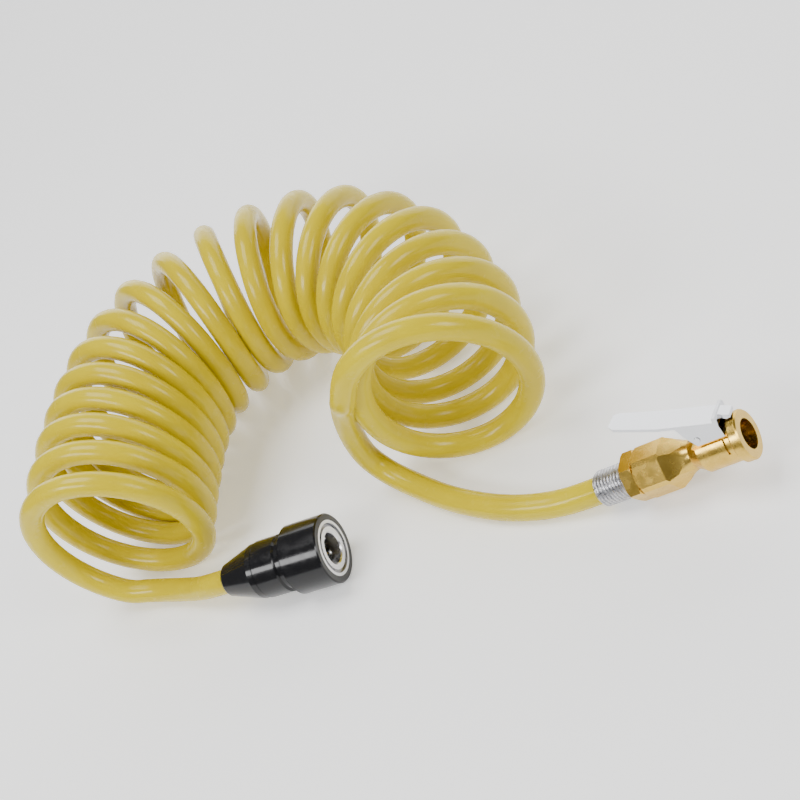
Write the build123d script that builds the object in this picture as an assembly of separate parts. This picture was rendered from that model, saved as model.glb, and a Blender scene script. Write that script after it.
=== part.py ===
from build123d import *
import math
import os

# A recoil air hose: a yellow coiled hose with a clip-on tyre chuck on one end and a
# quick coupler on the other. Millimetres, +Z up, the hose lies on the plane Z = 0.
# The origin is on that plane, under the middle of the two end fittings.
# +X is the coupler's axis, out of its mouth.

os.makedirs("parts", exist_ok=True)

# ---------------------------------------------------------------- hose
hose_d = 10.0
hose_bore_d = 6.5
coil_outer_d = 80.0
coil_clear_of_floor = 0.0

# Middle of the coil, seen from above, from the coupler's end to the chuck's end.
coil_axis_points = [
    (-147.5, 9.0), (-151.0, 44.0), (-150.5, 77.0), (-145.5, 105.0), (-126.5, 133.0), (-95.5, 147.0),
    (-61.5, 142.0), (-33.5, 122.0), (-13.5, 94.0), (-2.5, 63.0), (2.5, 29.0),
]

# Middle of the hose, from inside the coil to its stop inside the coupler.
coupler_tail_points = [
    (-163.0, 23.0, 7.3), (-142.0, 11.3, 9.4), (-119.3, 4.6, 14.0),
]

# Middle of the hose, from inside the coil to the chuck's threaded tail.
chuck_tail_points = [
    (-29.3, 43.4, 12.4), (-21.0, 30.6, 7.5), (-9.8, 19.4, 5.0), (3.5, 10.5, 5.0), (18.5, 4.6, 5.0),
]

chuck_tail_lead = 8.0   # straight hose behind the chuck

# ---------------------------------------------------------------- where the fittings lie
coupler_mouth = (-58.5, 4.6, 14.0)
chuck_nose = (106.3, -8.6, 21.5)
chuck_turn = -7.0       # degrees from +X, seen from above
chuck_tilt = 13.0       # degrees, nose up
lever_roll = 20.0       # degrees that the lever leans towards +Y

# ---------------------------------------------------------------- tyre chuck, lengths from the nose
chuck_flange_d = 17.5
chuck_flange_length = 3.2
chuck_barrel_d = 15.2
chuck_barrel_end = 16.5
chuck_waist_d = 10.4
chuck_waist_at = 20.4
chuck_hex_af = 17.0
chuck_ridge_end = 27.3    # where the hexagon's corners end
chuck_flat_end = 29.8     # where its flats begin to dip
chuck_hex_end = 40.9
chuck_hex_chamfer = 1.0
chuck_hex_corner_cut = 0.5
chuck_hex_turn = 10.0    # degrees that the hexagon is turned from the lever

stem_bore_d = 9.2       # takes a tyre valve's threaded stem
mouth_d = 10.6
mouth_depth = 6.4
stem_bore_depth = 12.8
seal_length = 3.6
seal_groove = 0.3
nose_web = 1.6
pin_hole_d = 4.0
chamber_d = 7.4

claw_thickness = 1.4
claw_from_nose = 4.8
claw_slot_front = 3.5
claw_slot_back = 7.0
claw_slot_floor = 1.0
claw_width = 6.4
claw_grip_d = 7.6
claw_slot_side_gap = 0.3
saw_line_width = 0.7
saw_line_depth = 0.7

lever_width = 11.6
lever_sheet = 1.0
lever_top_sheet = 1.2
lever_side_gap = 0.1
lever_flat_floor = 4.3
lever_ear_floor = 5.0
lever_pivot_from_nose = 13.8
lever_pivot_height = 7.2
lever_lug_front = 11.5
lever_lug_back = 16.0
lever_lug_top = 9.0
lever_pin_d = 2.0
lever_front = 4.6
lever_front_height = 9.4
lever_bend_at = 24.0
lever_bend_height = 15.1
lever_tail_at = 40.0
lever_tail_height = 21.4
lever_tail_width = 10.4
lever_tail_round = 1.6
lever_nose_tab_width = 5.6
lever_spring_at = 18.2
lever_spring_d = 3.2
lever_spring_wire = 0.5
lever_spring_foot = 5.0

valve_pin_d = 2.4
valve_pin_tip = 12.9
valve_head_d = 6.4
valve_head_thickness = 1.8
valve_seal_thickness = 1.2
valve_tail_length = 9.5
valve_travel = 1.5
valve_spring_wire = 0.6
spring_retainer_thickness = 1.2
fibre_washer_thickness = 1.4

# ---------------------------------------------------------------- threaded hose tail of the chuck
thread_d = 13.157       # G 1/4
thread_pitch = 1.337
thread_depth = 0.856
nipple_exposed = 13.2
nipple_in_body = 9.5
lock_nut_af = 16.0
lock_nut_thickness = 4.9
lock_nut_turn = 14.0
nipple_through_d = 4.6
hose_in_nipple = 9.0
barb_flange = 1.2
barb_stem_length = 8.0

# ---------------------------------------------------------------- quick coupler, lengths from the mouth
plug_bore_d = 12.2
socket_front_d = 17.0
socket_rear_d = 19.6
socket_front = 0.8
socket_shoulder = 17.9
socket_end = 34.0
socket_chamber_d = 15.2
socket_web_front = 17.5
socket_web_back = 19.0
socket_web_d = 10.0
plug_seal_at = 13.1
plug_seal_section = 1.8
plug_seal_bite = 0.25

ball_d = 3.0
ball_count = 6
ball_at = 6.5
ball_centre_r = 6.9
ball_hole_clearance = 0.05
ball_lip_r = 6.28
ball_lip_hole_d = 2.76
relief_groove_front = 8.1
relief_groove_back = 9.1
relief_groove_depth = 0.7
ramp_slope = 0.25
sleeve_travel = 3.2

sleeve_outer_d = 27.8
sleeve_liner_d = 24.0
sleeve_bore_clearance = 0.1
sleeve_front = 0.6
sleeve_back = 18.0
sleeve_face_d = 22.2
sleeve_lip = 1.4
sleeve_spring_room_d = 22.2
sleeve_spring_front = 10.0
sleeve_recess_d = 19.8
sleeve_recess_depth = 3.0
sleeve_spring_wire = 0.9
sleeve_spring_d = 20.4
spring_washer_thickness = 0.9
retaining_ring_d = 19.4
retaining_ring_thickness = 1.2
retaining_ring_groove = 0.5

rear_cover_front = 21.4
rear_cover_back = 32.2
rear_cover_d = 23.2
rear_cover_neck_d = 21.6
clamp_nut_end = 50.2
clamp_nut_big_d = 22.4
clamp_nut_small_d = 13.4
clamp_nut_rim = 2.6

stem_flange_back = 36.5
stem_flange_d = 19.0
stem_spigot_front = 29.5
stem_barb_end = 46.5
stem_bore_through_d = 4.8
stem_seal_at = 32.0
stem_seal_section = 1.1
ferrule_wall = 0.9
ferrule_front = 36.8
ferrule_back = 45.0

poppet_tip = 15.5
poppet_tip_d = 6.2
poppet_head_d = 12.8
poppet_head_thickness = 1.2
poppet_seal_thickness = 0.9
poppet_stem_d = 3.0
poppet_stem_end = 33.0
poppet_travel = 2.0
poppet_spring_d = 8.0
poppet_spring_wire = 0.7

slide_clearance = 0.05
face_gap = 0.02
fit_gap = 0.05

hose_r = hose_d / 2
hose_bore_r = hose_bore_d / 2


# ---------------------------------------------------------------- helpers
def turned(points):
    """A solid of revolution about X, from (x, radius) points."""
    return revolve(make_face(Polyline(*points, close=True)), Axis.X)


def tube_ring(x_back, x_front, outer_r, inner_r):
    """A plain ring about X."""
    return turned([(x_back, inner_r), (x_front, inner_r), (x_front, outer_r), (x_back, outer_r)])


def rod(x_back, x_front, radius):
    """A plain round bar about X."""
    return turned([(x_back, 0), (x_front, 0), (x_front, radius), (x_back, radius)])


def o_ring(x_middle, middle_r, section_d):
    """A round-section ring about X."""
    return revolve(Pos(x_middle, middle_r) * Circle(section_d / 2), Axis.X)


def hex_bar(x_back, x_front, across_flats):
    """A hexagonal bar along X with a flat on top."""
    outline = RegularPolygon(radius=across_flats / 2, side_count=6, major_radius=False, rotation=30)
    return Pos(x_back, 0, 0) * extrude(Plane.YZ * Rot(0, 0, 90) * outline, x_front - x_back)


def block(x_back, x_front, half_width, z_low, z_high):
    """A box, symmetrical about the XZ plane."""
    box = Box(x_front - x_back, 2 * half_width, z_high - z_low)
    return Pos((x_back + x_front) / 2, 0, (z_low + z_high) / 2) * box


def coil_spring(x_back, x_front, coil_d, wire_d, turns):
    """A compression spring along X that just fits between two faces."""
    length = x_front - x_back - wire_d - 2 * face_gap
    path = Helix(pitch=length / turns, height=length, radius=(coil_d - wire_d) / 2)
    section = Plane(origin=path @ 0, z_dir=path % 0) * Circle(wire_d / 2)
    wound = sweep(section, path=path, is_frenet=True)
    return Pos(x_back + wire_d / 2 + face_gap, 0, 0) * Rot(0, 90, 0) * wound


def smooth_path(points, label):
    """Straight runs joined by arcs, each as large as its two runs allow."""
    spots = [Vector(*p) for p in points]
    runs = [b - a for a, b in zip(spots, spots[1:])]
    radii = []
    for before, after in zip(runs, runs[1:]):
        half_turn = math.radians(before.get_angle(after)) / 2
        radii.append(0.45 * min(before.length, after.length) / math.tan(half_turn))
    print(label, "runs", [round(run.length, 1) for run in runs], "radii", [round(r, 1) for r in radii])
    return FilletPolyline(*spots, radius=radii)


def swept_rod(path, radius, label):
    """A round bar along a path, with its volume compared with section times length."""
    section = Plane(origin=path @ 0, z_dir=path % 0) * Circle(radius)
    bar = sweep(section, path=path)
    expected = math.pi * radius ** 2 * path.length
    print(label, "length", round(path.length, 1), "volume ratio", round(bar.volume / expected, 4))
    return bar


def place(part, location, node):
    """Put a local part where its fitting lies and write it."""
    placed = location * part
    placed.label = node
    export_step(placed, f"parts/{node}.step")
    return placed


# ---------------------------------------------------------------- frames of the two fittings
coupler_frame = Location(coupler_mouth)

turn = math.radians(chuck_turn)
tilt = math.radians(chuck_tilt)
chuck_axis = Vector(
    math.cos(tilt) * math.cos(turn),
    math.cos(tilt) * math.sin(turn),
    math.sin(tilt),
)
level_side = Vector(-math.sin(turn), math.cos(turn), 0)
straight_up = chuck_axis.cross(level_side)
roll = math.radians(lever_roll)
lever_up = straight_up * math.cos(roll) + level_side * math.sin(roll)
chuck_frame = Plane(origin=chuck_nose, x_dir=chuck_axis, z_dir=lever_up).location

chuck_length = chuck_hex_end + lock_nut_thickness + nipple_exposed


def chuck_point(from_nose):
    """A point on the chuck's axis, at a distance behind the nose."""
    return Vector(*chuck_nose) - chuck_axis * from_nose


# ================================================================ tyre chuck
barrel_r = chuck_barrel_d / 2
lever_lug_half = lever_width / 2 - lever_sheet - lever_side_gap
flange_r = chuck_flange_d / 2
waist_r = chuck_waist_d / 2
hex_corner_r = chuck_hex_af / math.sqrt(3) - chuck_hex_corner_cut
stem_bore_r = stem_bore_d / 2
chamber_r = chamber_d / 2
chamber_front = stem_bore_depth + seal_length + nose_web
nipple_front = chuck_hex_end - nipple_in_body
chamber_back = nipple_front - fibre_washer_thickness
thread_r = thread_d / 2
thread_root_r = thread_r - thread_depth


def chuck_body():
    outline = Polyline(
        (0, 0), (0, flange_r - 0.5), (-0.5, flange_r), (-chuck_flange_length, flange_r),
        (-chuck_flange_length - 0.8, barrel_r), (-chuck_barrel_end, barrel_r),
    )
    neck = ThreePointArc(
        (-chuck_barrel_end, barrel_r),
        (-(chuck_barrel_end * 0.42 + chuck_waist_at * 0.58), waist_r * 0.62 + barrel_r * 0.38),
        (-chuck_waist_at, waist_r),
    )
    flare = ThreePointArc(
        (-chuck_waist_at, waist_r),
        (-(chuck_waist_at * 0.45 + chuck_ridge_end * 0.55), waist_r + (hex_corner_r - waist_r) * 0.33),
        (-chuck_ridge_end, hex_corner_r),
    )
    rear = Polyline(
        (-chuck_ridge_end, hex_corner_r), (-chuck_hex_end + chuck_hex_chamfer, hex_corner_r),
        (-chuck_hex_end, hex_corner_r - chuck_hex_chamfer), (-chuck_hex_end, 0), (0, 0),
    )
    body = revolve(make_face(outline + neck + flare + rear), Axis.X)
    front = rod(-chuck_waist_at - 0.01, 0.1, flange_r + 1)
    hexagon = Rot(chuck_hex_turn, 0, 0) * hex_bar(-chuck_hex_end - 1, -chuck_waist_at, chuck_hex_af)
    body = body & (front + hexagon)
    # A hollow runs from each flat down to the neck.
    flat_r = chuck_hex_af / 2
    hollow_middle = (chuck_waist_at + chuck_flat_end) / 2
    hollow_face = make_face(
        ThreePointArc(
            (-chuck_flat_end, flat_r), (-hollow_middle - 0.6, (flat_r + waist_r) / 2 - 0.25),
            (-chuck_waist_at, waist_r),
        )
        + Polyline(
            (-chuck_waist_at, waist_r), (-chuck_waist_at, 2 * flat_r), (-chuck_flat_end, 2 * flat_r),
            (-chuck_flat_end, flat_r),
        )
    )
    hollow = Rot(90, 0, 0) * extrude(hollow_face, flat_r, both=True)
    for side in range(6):
        body -= Rot(60 * side + chuck_hex_turn, 0, 0) * hollow
    # A lug between the lever's sides carries its pin.
    body += block(-lever_lug_back, -lever_lug_front, lever_lug_half, stem_bore_r + 1, lever_lug_top)
    # Bores, from the nose to the threaded tail.
    body -= turned([
        (0.1, 0), (0.1, mouth_d / 2), (-mouth_depth, mouth_d / 2), (-mouth_depth - 0.8, stem_bore_r),
        (-stem_bore_depth, stem_bore_r), (-stem_bore_depth, 0),
    ])
    body -= rod(-stem_bore_depth - seal_length, -stem_bore_depth + 0.01, stem_bore_r + seal_groove)
    body -= rod(-chamber_front, -stem_bore_depth, pin_hole_d / 2)
    body -= rod(-chamber_back, -chamber_front, chamber_r)
    body -= rod(-chuck_hex_end - 0.1, -chamber_back, thread_r + fit_gap)
    # Slot for the claw, flats for the lever's sides, and the pivot hole.
    claw_room = claw_width / 2 + claw_slot_side_gap
    body -= block(-claw_slot_back, -claw_slot_front, claw_room, claw_slot_floor, flange_r + 1)
    saw_back = -claw_from_nose - claw_thickness
    saw_line = tube_ring(saw_back, saw_back + saw_line_width, flange_r, barrel_r - saw_line_depth)
    body -= saw_line & block(-claw_slot_back, -claw_slot_front, flange_r, -claw_slot_floor, barrel_r)
    for side in (-1, 1):
        cheek = Box(chuck_waist_at - lever_front + 0.6, 6, flange_r - lever_flat_floor)
        cheek_x = -(chuck_waist_at + lever_front - 0.6) / 2
        body -= Pos(cheek_x, side * (lever_lug_half + 3), (flange_r + lever_flat_floor) / 2) * cheek
    pivot = Pos(-lever_pivot_from_nose, 0, lever_pivot_height) * Rot(90, 0, 0)
    body -= pivot * Cylinder(lever_pin_d / 2, 3 * barrel_r)
    # A flat pocket that the lever's spring stands in.
    pocket = Pos(-lever_spring_at, 0, lever_spring_foot + 2) * Cylinder(lever_spring_d / 2 + 0.3, 4)
    return body - pocket


def nose_seal():
    back = -stem_bore_depth - seal_length
    return turned([
        (back, pin_hole_d / 2 + 0.3), (-stem_bore_depth, 3.0), (-stem_bore_depth, stem_bore_r + seal_groove),
        (back, stem_bore_r + seal_groove),
    ])


valve_seat = -chamber_front - face_gap
valve_head_front = valve_seat - valve_seal_thickness
valve_head_back = valve_head_front - valve_head_thickness


def valve_pin():
    tip = rod(valve_head_front, -valve_pin_tip, valve_pin_d / 2)
    head = rod(valve_head_back, valve_head_front, valve_head_d / 2)
    tail = rod(valve_head_back - valve_tail_length, valve_head_back, valve_pin_d / 2)
    return tip + head + tail


def valve_seal():
    return tube_ring(valve_head_front, valve_seat, valve_head_d / 2, valve_pin_d / 2)


retainer_front = -chamber_back + spring_retainer_thickness


def spring_retainer():
    return tube_ring(-chamber_back, retainer_front, chamber_r, valve_pin_d / 2 + slide_clearance * 4)


def valve_spring():
    return coil_spring(retainer_front, valve_head_back, valve_head_d - 0.6, valve_spring_wire, 6)


def fibre_washer():
    return tube_ring(-nipple_front, -chamber_back, thread_r - 0.4, chamber_r - 0.7)


nipple_rear = chuck_length


def hose_nipple():
    outer = [(-nipple_rear, thread_root_r - 0.4)]
    turns = int((nipple_rear - nipple_front - 1.2) / thread_pitch)
    start = nipple_rear - 0.7
    for turn_number in range(turns):
        at = start - turn_number * thread_pitch
        outer += [(-at, thread_root_r), (-at + thread_pitch * 0.42, thread_r)]
        outer += [(-at + thread_pitch * 0.58, thread_r)]
    outer += [(-start + turns * thread_pitch, thread_root_r), (-nipple_front, thread_root_r)]
    pocket_end = -nipple_rear + hose_in_nipple + barb_flange
    inner = [
        (-nipple_front, nipple_through_d / 2), (pocket_end, nipple_through_d / 2),
        (pocket_end, hose_r), (-nipple_rear, hose_r),
    ]
    return turned(outer + inner)


def lock_nut():
    back = -chuck_hex_end - lock_nut_thickness
    corner_r = lock_nut_af / math.sqrt(3)
    shell = turned([
        (back, thread_r + fit_gap), (-chuck_hex_end - face_gap, thread_r + fit_gap),
        (-chuck_hex_end - face_gap, corner_r - 0.7), (-chuck_hex_end - 0.6, corner_r),
        (back + 0.6, corner_r), (back, corner_r - 0.7),
    ])
    return shell & (Rot(lock_nut_turn, 0, 0) * hex_bar(back, -chuck_hex_end - face_gap, lock_nut_af))


barb_front = -nipple_rear + hose_in_nipple + barb_flange


def hose_barb():
    flange_back = barb_front - barb_flange
    stem_back = flange_back - barb_stem_length
    return turned([
        (stem_back, nipple_through_d / 2 - 0.4), (barb_front, nipple_through_d / 2 - 0.4),
        (barb_front, hose_r - fit_gap), (flange_back, hose_r - fit_gap),
        (flange_back, hose_bore_r), (stem_back, hose_bore_r),
    ])


def side_plate(points, y_low, y_high):
    """A flat plate in the XZ plane, between two Y values."""
    face = make_face(Polyline(*[(x, 0, z) for x, z in points], close=True))
    return Pos(0, y_high, 0) * extrude(face, y_high - y_low, dir=(0, -1, 0))


lever_slope = (lever_bend_height - lever_front_height) / (lever_bend_at - lever_front)


def lever_underside(from_nose):
    """Height of the underside of the lever's top plate, ahead of its bend."""
    return lever_front_height + lever_slope * (from_nose - lever_front)


def lever():
    top = [
        (-lever_front, lever_front_height), (-lever_bend_at, lever_bend_height),
        (-lever_tail_at, lever_tail_height), (-lever_tail_at, lever_tail_height + lever_top_sheet),
        (-lever_bend_at, lever_bend_height + lever_top_sheet),
        (-lever_front, lever_front_height + lever_top_sheet),
    ]
    half = lever_width / 2
    tail_half = lever_tail_width / 2
    corner = lever_tail_round
    plan = make_face(Polyline(
        (-lever_front, half), (-lever_bend_at, half), (-lever_tail_at + corner, tail_half),
        (-lever_tail_at, tail_half - corner), (-lever_tail_at, corner - tail_half),
        (-lever_tail_at + corner, -tail_half), (-lever_bend_at, -half), (-lever_front, -half), close=True,
    ))
    sheet = side_plate(top, -half, half) & extrude(plan, lever_tail_height + 2 * lever_top_sheet)
    # The front end is folded into a ridge, and a narrower tab runs down from it to the nose.
    ridge = [
        (-6.2, lever_underside(6.2)), (-5.6, 12.4), (-4.5, 12.4), (-4.0, 11.4),
        (-lever_front + 0.1, lever_front_height),
    ]
    sheet += side_plate(ridge, -half, half)
    tab = [(-4.8, 10.6), (-4.7, 12.1), (-0.9, 10.2), (-0.9, 9.1), (-2.4, 9.1)]
    tab_half = lever_nose_tab_width / 2
    sheet += side_plate(tab, -tab_half, tab_half)
    ear = [
        (-lever_front, lever_underside(lever_front) + 0.5), (-lever_front, lever_ear_floor),
        (-lever_pivot_from_nose - 1.0, lever_ear_floor), (-17.5, 10.0),
        (-18.8, lever_underside(18.8) + 0.5),
    ]
    sheet += side_plate(ear, half - lever_sheet, half)
    sheet += side_plate(ear, -half, -half + lever_sheet)
    pivot = Pos(-lever_pivot_from_nose, 0, lever_pivot_height) * Rot(90, 0, 0)
    return sheet - pivot * Cylinder(lever_pin_d / 2 + slide_clearance, 2 * lever_width)


def claw():
    plate = block(-claw_from_nose - claw_thickness, -claw_from_nose, claw_width / 2, 2.0, lever_front_height)
    return plate - rod(-claw_slot_back, -claw_slot_front, claw_grip_d / 2)


def lever_pin():
    pivot = Pos(-lever_pivot_from_nose, 0, lever_pivot_height) * Rot(90, 0, 0)
    return pivot * Cylinder(lever_pin_d / 2, lever_width + 0.6)


def lever_spring():
    nearest = lever_underside(lever_spring_at - lever_spring_d / 2)
    upright = coil_spring(lever_spring_foot, nearest, lever_spring_d, lever_spring_wire, 6)
    return Pos(-lever_spring_at, 0, 0) * Rot(0, -90, 0) * upright


for make in (
    chuck_body, nose_seal, valve_pin, valve_seal, spring_retainer, valve_spring, fibre_washer,
    hose_nipple, lock_nut, hose_barb, lever, claw, lever_pin, lever_spring,
):
    place(make(), chuck_frame, make.__name__)


# ================================================================ quick coupler
plug_bore_r = plug_bore_d / 2
socket_front_r = socket_front_d / 2
socket_rear_r = socket_rear_d / 2
socket_chamber_r = socket_chamber_d / 2
sleeve_bore_r = socket_front_r + sleeve_bore_clearance
ball_r = ball_d / 2
plug_seal_middle_r = plug_bore_r - plug_seal_bite + plug_seal_section / 2
ring_front = sleeve_recess_depth - 0.1 - retaining_ring_thickness
ball_angles = [360 / ball_count * i + 30 for i in range(ball_count)]


def coupler_body():
    body = turned([
        (-socket_front, plug_bore_r + 0.5), (-socket_front - 0.5, plug_bore_r),
        (-socket_web_front, plug_bore_r), (-socket_web_front, socket_web_d / 2),
        (-socket_web_back, socket_web_d / 2), (-socket_web_back, socket_chamber_r),
        (-socket_end, socket_chamber_r), (-socket_end, socket_rear_r),
        (-socket_shoulder, socket_rear_r), (-socket_shoulder, socket_front_r),
        (-socket_front, socket_front_r),
    ])
    groove_r = plug_seal_middle_r + plug_seal_section / 2
    half = plug_seal_section / 2
    body -= tube_ring(-plug_seal_at - half, -plug_seal_at + half, groove_r, plug_bore_r - 0.5)
    groove_back = -ring_front - retaining_ring_thickness
    body -= tube_ring(groove_back, -ring_front, socket_front_r + 1, socket_front_r - retaining_ring_groove)
    relief_r = plug_bore_r + relief_groove_depth
    body -= tube_ring(-relief_groove_back, -relief_groove_front, relief_r, plug_bore_r - 0.5)
    for angle in ball_angles:
        hole = Pos(0, 0, ball_lip_r) * extrude(Circle(ball_r + ball_hole_clearance), 6)
        lip = Pos(0, 0, plug_bore_r - 1) * extrude(Circle(ball_lip_hole_d / 2), 3)
        body -= Rot(angle, 0, 0) * Pos(-ball_at, 0, 0) * (hole + lip)
    return body


def lock_ball(angle):
    return Rot(angle, 0, 0) * Pos(-ball_at, 0, ball_centre_r) * Sphere(ball_r)


def sleeve_liner():
    ramp_end_r = sleeve_bore_r + ramp_slope * (ball_at - sleeve_recess_depth)
    liner_r = sleeve_liner_d / 2
    return turned([
        (-sleeve_front, sleeve_recess_d / 2), (-sleeve_recess_depth, sleeve_recess_d / 2),
        (-sleeve_recess_depth, ramp_end_r), (-ball_at, sleeve_bore_r),
        (-sleeve_spring_front, sleeve_bore_r), (-sleeve_spring_front, sleeve_spring_room_d / 2),
        (-sleeve_back, sleeve_spring_room_d / 2), (-sleeve_back, liner_r),
        (-sleeve_front - sleeve_lip, liner_r), (-sleeve_front - sleeve_lip, sleeve_face_d / 2),
        (-sleeve_front, sleeve_face_d / 2),
    ])


def sleeve_cover():
    liner_r = sleeve_liner_d / 2
    outer_r = sleeve_outer_d / 2
    return turned([
        (-sleeve_front, sleeve_face_d / 2), (-sleeve_front, outer_r - 0.5), (-sleeve_front - 0.5, outer_r),
        (-sleeve_back + 0.6, outer_r), (-sleeve_back, outer_r - 0.6), (-sleeve_back, liner_r),
        (-sleeve_front - sleeve_lip, liner_r), (-sleeve_front - sleeve_lip, sleeve_face_d / 2),
    ])


washer_front = -socket_shoulder + spring_washer_thickness


def spring_washer():
    return tube_ring(-socket_shoulder, washer_front, sleeve_spring_room_d / 2 - 0.2, socket_front_r)


def sleeve_spring():
    return coil_spring(washer_front, -sleeve_spring_front, sleeve_spring_d, sleeve_spring_wire, 4)


def retaining_ring():
    groove_back = -ring_front - retaining_ring_thickness
    ring = tube_ring(groove_back, -ring_front, retaining_ring_d / 2, socket_front_r - retaining_ring_groove)
    return ring - Pos(-ring_front - 0.5, 0, socket_front_r) * Box(3, 2.4, 6)


def plug_seal():
    return o_ring(-plug_seal_at, plug_seal_middle_r, plug_seal_section - 0.02)


poppet_seat = -socket_web_back - face_gap
poppet_head_front = poppet_seat - poppet_seal_thickness
poppet_head_back = poppet_head_front - poppet_head_thickness


def poppet():
    tip = tube_ring(poppet_head_front, -poppet_tip, poppet_tip_d / 2, poppet_tip_d / 2 - 0.9)
    for angle in (0, 60, 120):
        window = Pos((poppet_head_front - poppet_tip) / 2 - 0.6, 0, 0) * Box(1.8, 1.6, 12)
        tip -= Rot(angle, 0, 0) * window
    head = rod(poppet_head_back, poppet_head_front, poppet_head_d / 2)
    stem = rod(-poppet_stem_end, poppet_head_back, poppet_stem_d / 2)
    return tip + head + stem


def poppet_seal():
    return tube_ring(poppet_head_front, poppet_seat, poppet_head_d / 2, poppet_tip_d / 2)


def poppet_spring():
    return coil_spring(-stem_spigot_front, poppet_head_back, poppet_spring_d, poppet_spring_wire, 5)


def hose_stem():
    stem = turned([
        (-stem_spigot_front, stem_bore_through_d / 2), (-stem_spigot_front, socket_chamber_r),
        (-socket_end, socket_chamber_r), (-socket_end, stem_flange_d / 2),
        (-stem_flange_back, stem_flange_d / 2), (-stem_flange_back, hose_bore_r),
        (-stem_barb_end, hose_bore_r), (-stem_barb_end, stem_bore_through_d / 2),
    ])
    half = stem_seal_section / 2
    groove_r = socket_chamber_r - stem_seal_section
    return stem - tube_ring(-stem_seal_at - half, -stem_seal_at + half, socket_chamber_r + 1, groove_r)


def stem_seal():
    middle_r = socket_chamber_r - stem_seal_section / 2
    return o_ring(-stem_seal_at, middle_r, stem_seal_section - 0.02)


def hose_ferrule():
    return tube_ring(-ferrule_back, -ferrule_front, hose_r + fit_gap + ferrule_wall, hose_r + fit_gap)


def rear_cover():
    outer_r = rear_cover_d / 2
    shell = turned([
        (-sleeve_back, socket_rear_r + fit_gap), (-sleeve_back, rear_cover_neck_d / 2),
        (-rear_cover_front, rear_cover_neck_d / 2), (-rear_cover_front, outer_r - 0.8),
        (-rear_cover_front - 0.8, outer_r), (-rear_cover_back + 0.3, outer_r),
        (-rear_cover_back, outer_r - 0.3), (-rear_cover_back, socket_rear_r + fit_gap),
    ])
    return shell


def clamp_nut():
    big_r = clamp_nut_big_d / 2
    small_r = clamp_nut_small_d / 2
    front = -rear_cover_back - face_gap
    cavity_r = socket_rear_r + fit_gap
    room_r = hose_r + 2 * fit_gap + ferrule_wall
    return turned([
        (front, cavity_r), (front, big_r - 0.3), (front - 0.3, big_r), (front - clamp_nut_rim, big_r),
        (-clamp_nut_end + 0.8, small_r), (-clamp_nut_end, small_r - 0.7), (-clamp_nut_end, hose_r),
        (-ferrule_back - 1, hose_r), (-ferrule_back - 1, room_r),
        (-stem_flange_back - 0.2 - (cavity_r - room_r) * 0.8, room_r), (-stem_flange_back - 0.2, cavity_r),
    ])


for make in (
    coupler_body, sleeve_liner, sleeve_cover, spring_washer, sleeve_spring, retaining_ring, plug_seal,
    poppet, poppet_seal, poppet_spring, hose_stem, stem_seal, hose_ferrule, rear_cover, clamp_nut,
):
    place(make(), coupler_frame, make.__name__)

for number, angle in enumerate(ball_angles, start=1):
    place(lock_ball(angle), coupler_frame, f"lock_ball_{number}")


# ================================================================ hose
coil_height = coil_outer_d / 2 + coil_clear_of_floor
coil_path = smooth_path([(x, y, coil_height) for x, y in coil_axis_points], "coil")
place(swept_rod(coil_path, coil_outer_d / 2, "coil"), Location(), "hose_coil")

coupler_stop = Vector(*coupler_mouth) - Vector(stem_flange_back, 0, 0)
coupler_path = smooth_path(coupler_tail_points + [tuple(coupler_stop)], "coupler tail")
coupler_tail = swept_rod(coupler_path, hose_r, "coupler tail")
coupler_tail -= coupler_frame * rod(-stem_barb_end, -stem_flange_back + 0.1, hose_bore_r)
place(coupler_tail, Location(), "hose_tail_coupler")

chuck_stop = chuck_point(nipple_rear - hose_in_nipple)
chuck_straight = chuck_point(nipple_rear + chuck_tail_lead)
chuck_path = smooth_path(
    chuck_tail_points + [tuple(chuck_straight), tuple(chuck_stop)], "chuck tail"
)
chuck_tail = swept_rod(chuck_path, hose_r, "chuck tail")
barb_back = -nipple_rear + hose_in_nipple - barb_stem_length
chuck_tail -= chuck_frame * rod(barb_back, -nipple_rear + hose_in_nipple + 0.1, hose_bore_r)
place(chuck_tail, Location(), "hose_tail_chuck")
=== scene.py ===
# %% Load the frame
import math

import bmesh
import bpy
from mathutils import Matrix, Vector


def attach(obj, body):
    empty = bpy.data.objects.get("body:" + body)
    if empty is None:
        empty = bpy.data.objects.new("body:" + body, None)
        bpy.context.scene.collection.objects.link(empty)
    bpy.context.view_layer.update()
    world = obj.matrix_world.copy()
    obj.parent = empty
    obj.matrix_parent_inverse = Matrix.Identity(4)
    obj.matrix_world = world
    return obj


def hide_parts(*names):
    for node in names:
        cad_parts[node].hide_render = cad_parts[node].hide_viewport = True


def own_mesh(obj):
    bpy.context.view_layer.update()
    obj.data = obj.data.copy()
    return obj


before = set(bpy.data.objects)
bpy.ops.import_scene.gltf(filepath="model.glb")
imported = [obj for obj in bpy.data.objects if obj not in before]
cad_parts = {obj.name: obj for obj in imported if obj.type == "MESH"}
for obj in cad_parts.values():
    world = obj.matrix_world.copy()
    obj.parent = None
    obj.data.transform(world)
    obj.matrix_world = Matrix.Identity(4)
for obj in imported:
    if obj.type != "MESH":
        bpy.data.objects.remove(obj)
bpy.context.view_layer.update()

MM = 0.001
TAU = 2 * math.pi


def mm(x, y, z):
    """A point given in millimetres, as a vector in metres."""
    return Vector((x, y, z)) * MM


# %% [markdown]
# # The camera
# The view is a long lens held above and in front of the chuck, tipped down so that the coil rises behind
# the two fittings. A camera could be aimed with a tracking constraint, but writing its own axes keeps the
# view's small roll, which a tracking constraint would level out. Its numbers were fitted by a separate
# program, together with the coil's stations below.

# %% Camera
CAMERA_PLACE = mm(181.9, -296.2, 345.0)
CAMERA_LOOK = Vector((-0.3998, 0.6814, -0.6131))
CAMERA_UP = Vector((0.3082, 0.7298, 0.6102))
LENS = 59.08
SENSOR = 36.0

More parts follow.
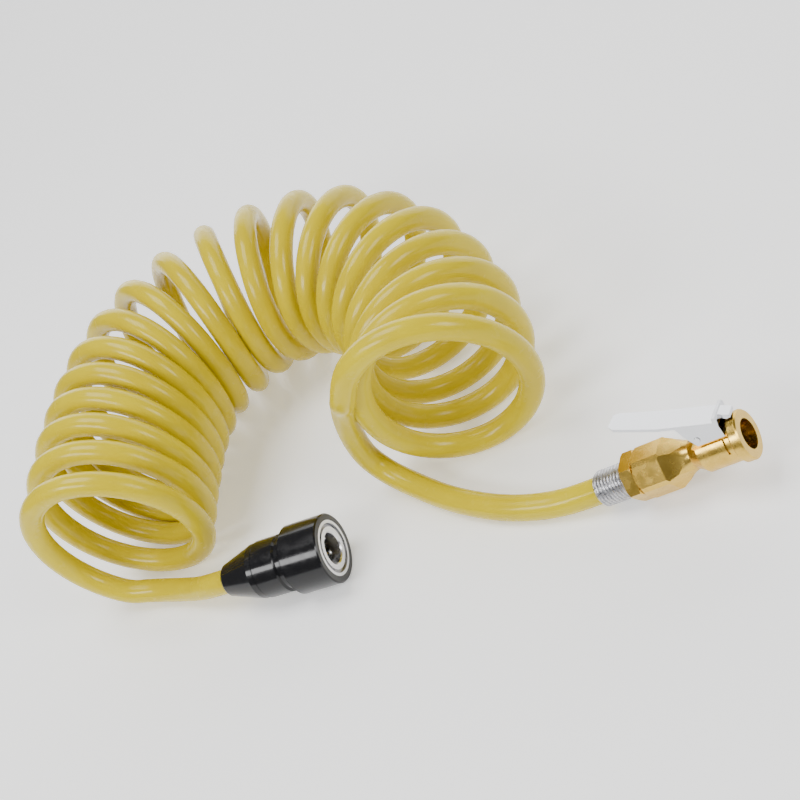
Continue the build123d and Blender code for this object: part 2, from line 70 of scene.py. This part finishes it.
camera_data = bpy.data.cameras.new("Camera")
camera_data.lens = LENS
camera_data.sensor_width = SENSOR
camera_data.clip_start = 0.02
camera_data.clip_end = 20.0
camera = bpy.data.objects.new("Camera", camera_data)
bpy.context.scene.collection.objects.link(camera)
look = CAMERA_LOOK.normalized()
camera_right = look.cross(CAMERA_UP).normalized()
camera_up = camera_right.cross(look)
turned = Matrix((camera_right, camera_up, -look)).transposed().to_4x4()
camera.matrix_world = Matrix.Translation(CAMERA_PLACE) @ turned
bpy.context.scene.camera = camera
print("camera at", [round(v, 3) for v in camera.location])

# %% [markdown]
# # The coiled hose
# The real hose is one polyurethane tube, wound hot on a mandrel so that it springs back into rings. Here
# it is one smooth curve with a round bevel: stations along the coil say where a ring stands on the floor,
# which way it faces, how wide and tall it is and how far it leans, and a loop walks round the rings and
# blends between stations. A spline with a bevel keeps the tube's thickness the same everywhere, which a
# tube modelled by hand would need care to do. Once its shape is right it is turned into a mesh.
#
# The stations weren't set by hand. A separate program fitted them, and they are rounded to about a tenth
# of a millimetre or of a degree. Fewer stations, chosen by eye, would be easier to read and to change.

# %% The coil's stations
# turn number, foot x and y, the way the ring faces in degrees, half width, half height, lean in degrees
STATIONS = [
    (0, -147, 14.5, 82, 35.0, 35.6, -2.7),
    (1, -149.5, 34, 83.5, 34.8, 35.6, -3.4),
    (2, -151, 48.5, 79, 34.8, 35.8, -1.7),
    (3, -151.6, 59.7, 75.5, 34.7, 36.1, 1.2),
    (4, -151.8, 70, 74, 34.7, 36.4, 4.1),
    (5, -151.4, 81.6, 70, 34.5, 36.6, 6.3),
    (6, -149.6, 95.4, 62.5, 34.5, 36.7, 7.9),
    (7, -145, 110, 52, 34.3, 36.4, 9.0),
    (8, -136.3, 124.8, 40.5, 34.0, 35.8, 9.8),
    (10, -106.7, 145.8, 11.5, 33.2, 33.7, 10.7),
    (12, -66.8, 145.2, -17.2, 32.6, 32.1, 11.2),
    (14, -31.1, 120.6, -44.7, 31.9, 32.0, 11.0),
    (16, -7.5, 82.1, -62.7, 31.6, 33.4, 9.8),
    (17, -1.8, 63.9, -70.7, 31.8, 34.6, 8.3),
    (18, 2.1, 44.7, -77.1, 32.5, 36.4, 5.3),
    (19, 1.4, 24.2, -101, 33.9, 38.9, 0.3),
]
HOSE_D = 10.0
HOSE_R = HOSE_D / 2
POINTS_PER_TURN = 16
FIRST_TURN = 0.09
LAST_TURN = 18.68


def station(turn):
    """The ring at a turn number, blended smoothly between the stations round it."""
    index = 0
    while index < len(STATIONS) - 2 and STATIONS[index + 1][0] <= turn:
        index += 1
    before = STATIONS[max(index - 1, 0)]
    low = STATIONS[index]
    high = STATIONS[index + 1]
    after = STATIONS[min(index + 2, len(STATIONS) - 1)]
    span = high[0] - low[0]
    t = (turn - low[0]) / span
    blended = []
    for k in range(1, 7):
        slope_low = (high[k] - before[k]) / (high[0] - before[0]) * span
        slope_high = (after[k] - low[k]) / (after[0] - low[0]) * span
        blended.append(
            (2 * t ** 3 - 3 * t ** 2 + 1) * low[k] + (t ** 3 - 2 * t ** 2 + t) * slope_low
            + (3 * t ** 2 - 2 * t ** 3) * high[k] + (t ** 3 - t ** 2) * slope_high
        )
    return blended


def ring_point(turn):
    """A control point of the coil, in millimetres. The smooth line passes each one at three quarters of
    its own place and an eighth of each neighbour's, so the ring of points is spread to make up for it."""
    x, y, facing, half_width, half_height, lean = station(turn)
    spread = 1 / (0.75 + 2 * 0.125 * math.cos(TAU / POINTS_PER_TURN))
    angle = TAU * turn
    heading = math.radians(facing)
    forward = Vector((math.cos(heading), math.sin(heading), 0))
    left = Vector((-forward.y, forward.x, 0))
    up = -math.cos(angle) * half_height * spread
    out = math.sin(angle) * half_width * spread
    tip = math.radians(lean)
    centre = Vector((x, y, half_height + HOSE_R)) + forward * half_height * math.sin(tip)
    upright = forward * math.sin(tip) + Vector((0, 0, math.cos(tip)))
    return centre + left * out + upright * up


# %% [markdown]
# The two ends leave the coil, come down to the floor and run into the fittings. The coupler's end runs
# straight out of the coupler, then along the floor, then up into the first ring. The chuck's end comes
# down off the last ring, runs along the floor and climbs a little to the chuck. An end has no repeating
# shape, so its points are a plain list, in millimetres.

# %% The hose's route
COUPLER_TAIL = [
    (-95, 4.6, 14), (-102, 4.6, 14), (-110, 4.9, 13.7), (-118, 6.4, 12), (-127, 9.4, 9),
    (-138, 13.7, 6.6), (-149, 17.2, 6), (-158, 18.6, 7.6),
]
CHUCK_TAIL = [
    (-32, 34, 56), (-38.5, 38.4, 44), (-43, 40.7, 31), (-44.2, 41, 21), (-42, 39.8, 13.5),
    (-36.7, 36.2, 8.6), (-28.7, 30.5, 6), (-18.2, 22.4, 5), (-9.3, 16.3, 5), (-0.7, 11.3, 5),
    (7.7, 7.2, 5), (15.9, 4.1, 5), (24.1, 1.9, 5), (32.5, 0.4, 5.2), (41, -0.6, 6.4),
    (49.2, -1.6, 8.2), (57.9, -2.7, 10.2),
]
ring_count = round((LAST_TURN - FIRST_TURN) * POINTS_PER_TURN)
ring_turns = [FIRST_TURN + (LAST_TURN - FIRST_TURN) * i / ring_count for i in range(ring_count + 1)]
route = [Vector(p) for p in COUPLER_TAIL]
route += [ring_point(turn) for turn in ring_turns]
route += [Vector(p) for p in CHUCK_TAIL]

SHORTEST_EDGE = 1e-6

hose_curve = bpy.data.curves.new("hose", "CURVE")
hose_curve.dimensions = "3D"
spline = hose_curve.splines.new("NURBS")
spline.points.add(len(route) - 1)
for point, place in zip(spline.points, route):
    point.co = (*(place * MM), 1)
spline.order_u = 3
spline.use_endpoint_u = True
spline.resolution_u = 4
hose_curve.bevel_depth = HOSE_R * MM
hose_curve.bevel_resolution = 6
hose_curve.use_fill_caps = True
hose_route = bpy.data.objects.new("hose_route", hose_curve)
bpy.context.scene.collection.objects.link(hose_route)


def line_of(curve_object):
    """The points that a curve's smooth line passes through."""
    bare = curve_object.copy()
    bare.data = curve_object.data.copy()
    bare.data.bevel_depth = 0
    mesh = bpy.data.meshes.new_from_object(bare)
    spots = [v.co.copy() for v in mesh.vertices]
    bpy.data.meshes.remove(mesh)
    bpy.data.objects.remove(bare)
    return spots


hose_line = line_of(hose_route)
hose = bpy.data.objects.new("hose", bpy.data.meshes.new_from_object(hose_route))
bpy.context.scene.collection.objects.link(hose)
bpy.data.objects.remove(hose_route)

# The flat ends come out of the curve unjoined, so their corners are welded to the tube.
joined = bmesh.new()
joined.from_mesh(hose.data)
bmesh.ops.remove_doubles(joined, verts=joined.verts, dist=SHORTEST_EDGE)
joined.to_mesh(hose.data)
joined.free()
hose_length = sum((b - a).length for a, b in zip(hose_line, hose_line[1:]))
print("hose length", round(hose_length, 3), "points", len(route))

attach(hose, "hose_and_fittings")
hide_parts("hose_coil", "hose_tail_coupler", "hose_tail_chuck")

# %% [markdown]
# # Where the two fittings lie
# Both fittings were modelled along their own axis and then placed, so the pieces made here use the same
# two frames. The coupler lies along X. The chuck points a little to the side and is tipped nose up, and
# its lever leans over. The chuck's frame has its axis, its side and the lever's direction as columns, and
# starts at the nose.

# %% The fittings' frames
COUPLER_MOUTH = mm(-58.5, 4.6, 14)
CHUCK_NOSE = mm(106.3, -8.6, 21.5)
CHUCK_TURN = math.radians(-7)
CHUCK_TILT = math.radians(13)
LEVER_ROLL = math.radians(20)

coupler_frame = Matrix.Translation(COUPLER_MOUTH)
level = Vector((math.cos(CHUCK_TURN), math.sin(CHUCK_TURN), 0))
chuck_axis = level * math.cos(CHUCK_TILT) + Vector((0, 0, math.sin(CHUCK_TILT)))
level_side = Vector((-level.y, level.x, 0))
lever_up = chuck_axis.cross(level_side) * math.cos(LEVER_ROLL) + level_side * math.sin(LEVER_ROLL)
chuck_side = lever_up.cross(chuck_axis)
chuck_turned = Matrix((chuck_axis, chuck_side, lever_up)).transposed().to_4x4()
chuck_frame = Matrix.Translation(CHUCK_NOSE) @ chuck_turned
print("chuck axis", [round(v, 3) for v in chuck_axis])


def mesh_piece(name, points, faces, frame_matrix, body):
    """A mesh in a fitting's own millimetres, put in place and tied to its body."""
    mesh = bpy.data.meshes.new(name)
    mesh.from_pydata([frame_matrix @ (Vector(p) * MM) for p in points], [], faces)
    work = bmesh.new()
    work.from_mesh(mesh)
    bmesh.ops.recalc_face_normals(work, faces=work.faces)
    work.to_mesh(mesh)
    work.free()
    mesh.polygons.foreach_set("use_smooth", [True] * len(mesh.polygons))
    piece = bpy.data.objects.new(name, mesh)
    bpy.context.scene.collection.objects.link(piece)
    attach(piece, body)
    return piece


# %% [markdown]
# # The threaded hose tail
# The chuck's rear end is a nickel-plated nipple with a quarter-inch pipe thread. A true thread is a
# spiral, which the solid model replaces with rings, so it is rebuilt here: a grid of points runs round
# and along the nipple, and each point's radius follows the thread's wave at its own angle, so that the
# crest climbs one pitch in each turn. The thread runs on inside the chuck, out of sight, and the rear
# end is chamfered. A screw modifier could wind the thread, but it leaves both of its ends open.

# %% Threaded nipple
THREAD_R = 13.157 / 2
THREAD_PITCH = 1.337
THREAD_DEPTH = 0.856
NIPPLE_FRONT = 31.4
NIPPLE_REAR = 59.0
REAR_CHAMFER = 1.1
FLAT_CREST = 1.25
HOSE_POCKET = 9.0
POCKET_R = HOSE_R + 0.02
POCKET_MOUTH_R = HOSE_R + 0.35
POCKET_LEAD = 0.3
POCKET_CONE = 1.2
NIPPLE_BORE_R = 2.3
AROUND = 96
STEPS_PER_PITCH = 12


def thread_radius(from_nose, angle):
    """The thread's rounded crest and root, with a chamfer at the rear."""
    wave = math.cos(from_nose / THREAD_PITCH * TAU + angle)
    crest = 0.5 + 0.5 * max(-1, min(1, FLAT_CREST * wave))
    chamfer = THREAD_R - REAR_CHAMFER + (NIPPLE_REAR - from_nose)
    return min(THREAD_R - THREAD_DEPTH * (1 - crest), chamfer)


# The inside from the rear to the front: a pocket for the hose, a cone and the air's way through.
INSIDE = (
    (NIPPLE_REAR, POCKET_MOUTH_R),
    (NIPPLE_REAR - POCKET_LEAD, POCKET_R),
    (NIPPLE_REAR - HOSE_POCKET, POCKET_R),
    (NIPPLE_REAR - HOSE_POCKET - POCKET_CONE, NIPPLE_BORE_R),
    (NIPPLE_FRONT, NIPPLE_BORE_R),
)
nipple_points = []
nipple_faces = []
rows = int((NIPPLE_REAR - NIPPLE_FRONT) / THREAD_PITCH * STEPS_PER_PITCH)
for row in range(rows + 1):
    from_nose = NIPPLE_FRONT + (NIPPLE_REAR - NIPPLE_FRONT) * row / rows
    for i in range(AROUND):
        angle = TAU * i / AROUND
        radius = thread_radius(from_nose, angle)
        nipple_points.append((-from_nose, radius * math.cos(angle), radius * math.sin(angle)))
for from_nose, radius in INSIDE:
    for i in range(AROUND):
        angle = TAU * i / AROUND
        nipple_points.append((-from_nose, radius * math.cos(angle), radius * math.sin(angle)))
ring_total = rows + 1 + len(INSIDE)
for row in range(ring_total):
    ahead = (row + 1) % ring_total
    for i in range(AROUND):
        j = (i + 1) % AROUND
        nipple_faces.append((row * AROUND + i, ahead * AROUND + i, ahead * AROUND + j, row * AROUND + j))
nipple = mesh_piece(
    "threaded_nipple", nipple_points, nipple_faces, chuck_frame, "hose_and_fittings"
)
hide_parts("hose_nipple")
print("nipple rows", rows)

# %% [markdown]
# # The four springs
# Each spring is drawn wire wound on a mandrel, with its last turn at each end closed down and ground so
# that it sits square. A loop walks along the wire and winds the end turns tight, and a ring of points
# round each step gives the wire its thickness. A screw modifier could wind it, but it can't close the
# ends.

# %% Springs
WIRE_SIDES = 10
STEPS_PER_TURN = 28
CLOSED_TURNS = 0.9
CLOSED_RISE = 0.98


def spring(name, frame_matrix, start, end, coil_d, wire_d, turns):
    """A compression spring along the frame's X, from its start to its end."""
    length = end - start - wire_d
    winding_r = (coil_d - wire_d) / 2
    rise_closed = CLOSED_RISE * wire_d
    open_turns = turns - 2 * CLOSED_TURNS
    open_rise = length - 2 * CLOSED_TURNS * rise_closed

    def along(turn):
        if turn < CLOSED_TURNS:
            return turn * rise_closed
        if turn > turns - CLOSED_TURNS:
            return length - (turns - turn) * rise_closed
        return CLOSED_TURNS * rise_closed + (turn - CLOSED_TURNS) / open_turns * open_rise

    points = []
    faces = []
    steps = int(turns * STEPS_PER_TURN)
    for step in range(steps + 1):
        turn = turns * step / steps
        angle = TAU * turn
        outward = Vector((0, math.cos(angle), math.sin(angle)))
        centre = Vector((start + wire_d / 2 + along(turn), 0, 0)) + outward * winding_r
        for i in range(WIRE_SIDES):
            section = TAU * i / WIRE_SIDES
            spot = centre + (outward * math.cos(section) + Vector((math.sin(section), 0, 0))) * wire_d / 2
            points.append(spot)
    for step in range(steps):
        for i in range(WIRE_SIDES):
            j = (i + 1) % WIRE_SIDES
            low = step * WIRE_SIDES
            high = low + WIRE_SIDES
            faces.append((low + i, low + j, high + j, high + i))
    faces.append(tuple(range(WIRE_SIDES)))
    faces.append(tuple(steps * WIRE_SIDES + i for i in range(WIRE_SIDES)))
    made = mesh_piece(
        name + "_wire", points, faces, frame_matrix, "hose_and_fittings"
    )
    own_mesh(made)
    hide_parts(name)
    return made


# The lever's spring stands on the chuck's body, at right angles to the axis, under the lever.
LEVER_SPRING_FROM_NOSE = 18.2
upright_turn = Matrix.Rotation(-math.pi / 2, 4, "Y")
lever_spring_foot = chuck_frame @ Matrix.Translation(mm(-LEVER_SPRING_FROM_NOSE, 0, 0)) @ upright_turn

# Each has its start and end along the frame's X, the coil's and the wire's diameters, and its turns.
springs = [
    spring("sleeve_spring", coupler_frame, -17.0, -10.0, 20.4, 0.9, 4),
    spring("poppet_spring", coupler_frame, -29.5, -21.12, 8.0, 0.7, 5.5),
    spring("valve_spring", chuck_frame, -28.8, -21.02, 5.8, 0.6, 6),
    spring("lever_spring", lever_spring_foot, 5.0, 12.9, 3.2, 0.5, 6),
]
print("springs", [piece.name for piece in springs])

# %% [markdown]
# # Rounded edges
# Real edges are never perfectly sharp: pressed sheet has a rolled edge, and a turned hexagon has its
# corners broken. These edges catch the light and make a small metal part readable. Each piece here is
# a copy of the solid's surface with its flat faces joined up again, and a bevel modifier rounds only the
# corners that are sharp. Modelling each radius in CAD would be exact but slow.

# %% Rounded edges
SAME_PLANE = math.radians(0.4)
SMOOTH_UNDER = math.radians(13)
ROUNDED_OVER = math.radians(40)


def rounded(node, width, body):
    """A copy of a CAD node whose sharp edges are rounded, width in millimetres."""
    work = bmesh.new()
    work.from_mesh(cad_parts[node].data)
    bmesh.ops.remove_doubles(work, verts=work.verts, dist=SHORTEST_EDGE)
    bmesh.ops.dissolve_limit(work, angle_limit=SAME_PLANE, verts=work.verts, edges=work.edges)
    mesh = bpy.data.meshes.new(node + "_rounded")
    work.to_mesh(mesh)
    work.free()
    if "custom_normal" in mesh.attributes:
        mesh.attributes.remove(mesh.attributes["custom_normal"])
    mesh.polygons.foreach_set("use_smooth", [True] * len(mesh.polygons))
    mesh.set_sharp_from_angle(angle=SMOOTH_UNDER)
    piece = bpy.data.objects.new(node + "_rounded", mesh)
    bpy.context.scene.collection.objects.link(piece)
    edges = piece.modifiers.new("edges", "BEVEL")
    edges.width = width * MM
    edges.segments = 2
    edges.limit_method = "ANGLE"
    edges.angle_limit = ROUNDED_OVER
    edges.use_clamp_overlap = True
    edges.harden_normals = True
    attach(piece, body)
    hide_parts(node)
    return piece


lever_piece = rounded("lever", 0.22, "lever")
chuck_piece = rounded("chuck_body", 0.15, "hose_and_fittings")
lock_nut_piece = rounded("lock_nut", 0.15, "hose_and_fittings")
for piece in (lever_piece, chuck_piece, lock_nut_piece):
    print("rounded", piece.name, len(piece.data.polygons), "faces")

# %% [markdown]
# # Floor and lights
# The fittings are glossy, so what they mirror matters as much as how brightly they are lit. A dim white
# world keeps the black plastic black. One soft box above the front left and one on the right put clean
# bands along the coupler, a large overhead panel lights the coil, and the bright floor makes the lower
# band. A glowing sheet of paper stands behind as a wall, for the chrome lever to mirror. A sky image
# could light all of it at once, but separate lights can be moved one by one.

# %% Floor and lights
def paper(name, corners):
    """A flat sheet of studio paper with four corners, in metres."""
    mesh = bpy.data.meshes.new(name)
    mesh.from_pydata(corners, [], [(0, 1, 2, 3)])
    sheet = bpy.data.objects.new(name, mesh)
    bpy.context.scene.collection.objects.link(sheet)
    return sheet


floor = paper("floor", [(-4, -4, 0), (4, -4, 0), (4, 6, 0), (-4, 6, 0)])
wall = paper("wall", [(-2.5, 2, 0), (2.5, 2, 0), (2.5, 2, 1.6), (-2.5, 2, 1.6)])

world = bpy.data.worlds.new("World")
bpy.context.scene.world = world
world.use_nodes = True
sky = world.node_tree.nodes["Background"]
sky.inputs["Color"].default_value = (1, 1, 1, 1)
sky.inputs["Strength"].default_value = 0.24


def area_light(name, place, aim, size, power):
    """A soft rectangular light that faces a point, size in metres and power in watts."""
    data = bpy.data.lights.new(name, "AREA")
    data.shape = "RECTANGLE"
    data.size = size[0]
    data.size_y = size[1]
    data.energy = power
    light = bpy.data.objects.new(name, data)
    light.location = place
    light.rotation_mode = "QUATERNION"
    light.rotation_quaternion = (Vector(aim) - Vector(place)).to_track_quat("-Z", "Y")
    bpy.context.scene.collection.objects.link(light)


area_light("overhead", (-0.3, 0.1, 1.3), (-0.05, 0.06, 0), (0.7, 0.7), 13)
area_light("front_box", (-0.45, -0.55, 0.62), (-0.05, 0.02, 0), (0.5, 0.22), 5)
area_light("side_box", (0.9, -0.35, 0.7), (0.0, 0.0, 0), (0.45, 0.45), 6)
print("lights", len(bpy.data.lights))

# %% [markdown]
# # Materials
# Every material is built from nodes on the object's own coordinates, so it needs no unwrapping and keeps
# its real scale. A helper adds each kind of detail: blotches for colour and shine, fine marks round a
# turned piece's own axis, and small bumps. An image texture would be simpler to paint but would blur up
# close, and these fittings are a few centimetres long.

# %% Material helpers
def material(name, color, rough, metal=0.0):
    """A material of one colour and one shine, which the helpers below add to."""
    made = bpy.data.materials.new(name)
    made.use_nodes = True
    shader = made.node_tree.nodes["Principled BSDF"]
    shader.inputs["Base Color"].default_value = (*color, 1)
    shader.inputs["Roughness"].default_value = rough
    shader.inputs["Metallic"].default_value = metal
    return made


def add(made, kind, **values):
    """A node with some of its inputs set by name."""
    node = made.node_tree.nodes.new(kind)
    for key, value in values.items():
        node.inputs[key.replace("_", " ")].default_value = value
    return node


def link(made, source, target):
    """Joins one node's output to another node's input."""
    made.node_tree.links.new(source, target)


def noise(made, scale, detail=3.0, roughness=0.55):
    """A noise texture on the object's own coordinates, scale in lumps to the metre."""
    place = made.node_tree.nodes.new("ShaderNodeTexCoord")
    pattern = add(made, "ShaderNodeTexNoise", Scale=scale, Detail=detail, Roughness=roughness)
    link(made, place.outputs["Object"], pattern.inputs["Vector"])
    return pattern.outputs["Fac"]


def vary_color(made, scale, darker, lighter, low=0.35, high=0.65):
    """Blotches between two colours."""
    ramp = made.node_tree.nodes.new("ShaderNodeValToRGB")
    ramp.color_ramp.elements[0].position = low
    ramp.color_ramp.elements[0].color = (*darker, 1)
    ramp.color_ramp.elements[1].position = high
    ramp.color_ramp.elements[1].color = (*lighter, 1)
    link(made, noise(made, scale), ramp.inputs["Fac"])
    shader = made.node_tree.nodes["Principled BSDF"]
    link(made, ramp.outputs["Color"], shader.inputs["Base Color"])


def vary_rough(made, scale, smoothest, roughest):
    """Patches of more and less shine, as handling leaves."""
    span = add(made, "ShaderNodeMapRange", From_Min=0.3, From_Max=0.7, To_Min=smoothest, To_Max=roughest)
    link(made, noise(made, scale), span.inputs["Value"])
    shader = made.node_tree.nodes["Principled BSDF"]
    link(made, span.outputs["Result"], shader.inputs["Roughness"])


WANDER_LUMPS = 900


def turning_marks(made, origin, axis, pitch, depth, wander):
    """Fine rings round an axis, as a lathe tool leaves, pitch and depth in metres."""
    place = made.node_tree.nodes.new("ShaderNodeTexCoord")
    shifted = made.node_tree.nodes.new("ShaderNodeVectorMath")
    shifted.operation = "SUBTRACT"
    shifted.inputs[1].default_value = origin
    along = made.node_tree.nodes.new("ShaderNodeVectorMath")
    along.operation = "DOT_PRODUCT"
    along.inputs[1].default_value = axis
    phase = made.node_tree.nodes.new("ShaderNodeMath")
    phase.operation = "MULTIPLY_ADD"
    phase.inputs[1].default_value = TAU / pitch
    ripple = made.node_tree.nodes.new("ShaderNodeMath")
    ripple.operation = "SINE"
    stray = made.node_tree.nodes.new("ShaderNodeMath")
    stray.operation = "MULTIPLY"
    stray.inputs[1].default_value = wander
    link(made, place.outputs["Object"], shifted.inputs[0])
    link(made, shifted.outputs["Vector"], along.inputs[0])
    link(made, along.outputs["Value"], phase.inputs[0])
    link(made, noise(made, WANDER_LUMPS), stray.inputs[0])
    link(made, stray.outputs["Value"], phase.inputs[2])
    link(made, phase.outputs["Value"], ripple.inputs[0])
    bump(made, ripple.outputs["Value"], depth)


def bump(made, height, depth):
    """Pushes the surface by a pattern, depth in metres."""
    shader = made.node_tree.nodes["Principled BSDF"]
    relief = add(made, "ShaderNodeBump", Strength=1.0, Distance=depth)
    link(made, height, relief.inputs["Height"])
    if shader.inputs["Normal"].links:
        link(made, shader.inputs["Normal"].links[0].from_socket, relief.inputs["Normal"])
    link(made, relief.outputs["Normal"], shader.inputs["Normal"])


def grain(made, scale, depth):
    """A fine uneven surface."""
    bump(made, noise(made, scale, 4.0, 0.6), depth)


def glow(made, strength):
    """A faint white light of its own, for the studio's paper."""
    shader = made.node_tree.nodes["Principled BSDF"]
    shader.inputs["Emission Color"].default_value = (1, 1, 1, 1)
    shader.inputs["Emission Strength"].default_value = strength


def wear(piece, made):
    """Gives a piece or a CAD node its material, in place of what it has."""
    piece.data.materials.clear()
    piece.data.materials.append(made)


# %% [markdown]
# The hose is polyurethane: bright and glossy under a thin clear skin. Its shine changes a little from
# patch to patch where it has been handled, and its skin isn't perfectly even. Letting light pass into
# the plastic would look softer still, but each render would be slower.

# %% Hose and rubber
hose_yellow = material("hose_yellow", (0.60, 0.47, 0.0), 0.24)
hose_shader = hose_yellow.node_tree.nodes["Principled BSDF"]
hose_shader.inputs["Specular IOR Level"].default_value = 0.25
hose_shader.inputs["Coat Weight"].default_value = 0.12
hose_shader.inputs["Coat Roughness"].default_value = 0.08
vary_color(hose_yellow, 45, (0.57, 0.44, 0.0), (0.63, 0.50, 0.0))
vary_rough(hose_yellow, 160, 0.18, 0.3)
grain(hose_yellow, 700, 0.00004)
wear(hose, hose_yellow)

black_rubber = material("black_rubber", (0.02, 0.02, 0.02), 0.7)
vary_color(black_rubber, 900, (0.012, 0.012, 0.012), (0.035, 0.035, 0.034))
grain(black_rubber, 4000, 0.00002)

fibre = material("fibre", (0.36, 0.08, 0.05), 0.8)
vary_color(fibre, 2500, (0.26, 0.05, 0.035), (0.45, 0.12, 0.08))
grain(fibre, 5000, 0.00004)

# %% [markdown]
# The chuck's brass is turned from bar, so its shine runs in fine rings round its axis. The lever is
# pressed sheet with bright chrome plate. The nipple is nickel plated, greyer and softer. Each metal is
# its own short list of helpers, so that one can be changed without the others.

# %% Metals
brass = material("brass", (0.66, 0.43, 0.08), 0.26, 1.0)
vary_color(brass, 220, (0.62, 0.40, 0.07), (0.70, 0.47, 0.10))
vary_rough(brass, 300, 0.22, 0.3)
turning_marks(brass, CHUCK_NOSE, chuck_axis, 0.00045, 0.0000006, wander=0.3)

coupler_brass = material("coupler_brass", (0.66, 0.44, 0.10), 0.3, 1.0)
vary_rough(coupler_brass, 500, 0.22, 0.38)
turning_marks(coupler_brass, COUPLER_MOUTH, (1, 0, 0), 0.0003, 0.0000015, wander=0.6)

chrome = material("chrome", (0.66, 0.67, 0.69), 0.12, 1.0)
vary_rough(chrome, 260, 0.1, 0.2)
grain(chrome, 220, 0.00006)

nickel = material("nickel", (0.55, 0.55, 0.57), 0.28, 1.0)
vary_color(nickel, 400, (0.44, 0.44, 0.46), (0.64, 0.64, 0.66))
vary_rough(nickel, 700, 0.2, 0.4)

steel = material("steel", (0.72, 0.72, 0.73), 0.22, 1.0)
vary_rough(steel, 500, 0.15, 0.3)
turning_marks(steel, COUPLER_MOUTH, (1, 0, 0), 0.00035, 0.0000015, wander=0.6)

ball_steel = material("ball_steel", (0.78, 0.78, 0.79), 0.06, 1.0)
vary_rough(ball_steel, 900, 0.04, 0.1)

spring_steel = material("spring_steel", (0.30, 0.30, 0.32), 0.32, 1.0)
vary_color(spring_steel, 800, (0.22, 0.22, 0.24), (0.36, 0.36, 0.38))
grain(spring_steel, 3000, 0.00001)

# %% [markdown]
# The coupler's covers are moulded in glossy black plastic. Moulded plastic is never quite flat, so a
# broad, very shallow unevenness bends the bands of light a little, with a fine grain on top. A bump does
# this better than real geometry, because the waves are only hundredths of a millimetre deep.

# %% Plastic
black_plastic = material("black_plastic", (0.006, 0.006, 0.007), 0.16)
plastic_shader = black_plastic.node_tree.nodes["Principled BSDF"]
plastic_shader.inputs["Specular IOR Level"].default_value = 0.28
plastic_shader.inputs["Coat Weight"].default_value = 0.2
plastic_shader.inputs["Coat Roughness"].default_value = 0.06
vary_rough(black_plastic, 300, 0.12, 0.24)
grain(black_plastic, 120, 0.00003)
grain(black_plastic, 3500, 0.000006)

# %% [markdown]
# Each node that keeps its CAD shape gets the finish of its real part from one table, and then the pieces
# that were made here get theirs. The paper has the same paint on the floor and the wall, and glows.

# %% Finishes
FINISHES = {
    brass: ("valve_pin", "spring_retainer", "hose_barb"),
    coupler_brass: ("poppet", "hose_stem", "hose_ferrule"),
    chrome: ("claw",),
    steel: ("lever_pin", "coupler_body", "sleeve_liner", "spring_washer"),
    spring_steel: ("retaining_ring",),
    black_plastic: ("sleeve_cover", "rear_cover", "clamp_nut"),
    black_rubber: ("nose_seal", "valve_seal", "plug_seal", "poppet_seal", "stem_seal"),
    fibre: ("fibre_washer",),
    ball_steel: tuple(f"lock_ball_{number}" for number in range(1, 7)),
}
for finish, nodes in FINISHES.items():
    for node in nodes:
        wear(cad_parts[node], finish)
wear(nipple, nickel)
wear(lever_piece, chrome)
wear(chuck_piece, brass)
wear(lock_nut_piece, brass)
for piece in springs:
    wear(piece, spring_steel)

for sheet, strength in ((floor, 0.38), (wall, 2.2)):
    paint = material(sheet.name + "_paint", (0.93, 0.93, 0.93), 0.6)
    vary_color(paint, 3, (0.92, 0.92, 0.92), (0.94, 0.94, 0.94))
    glow(paint, strength)
    wear(sheet, paint)
print("finishes", len(FINISHES))
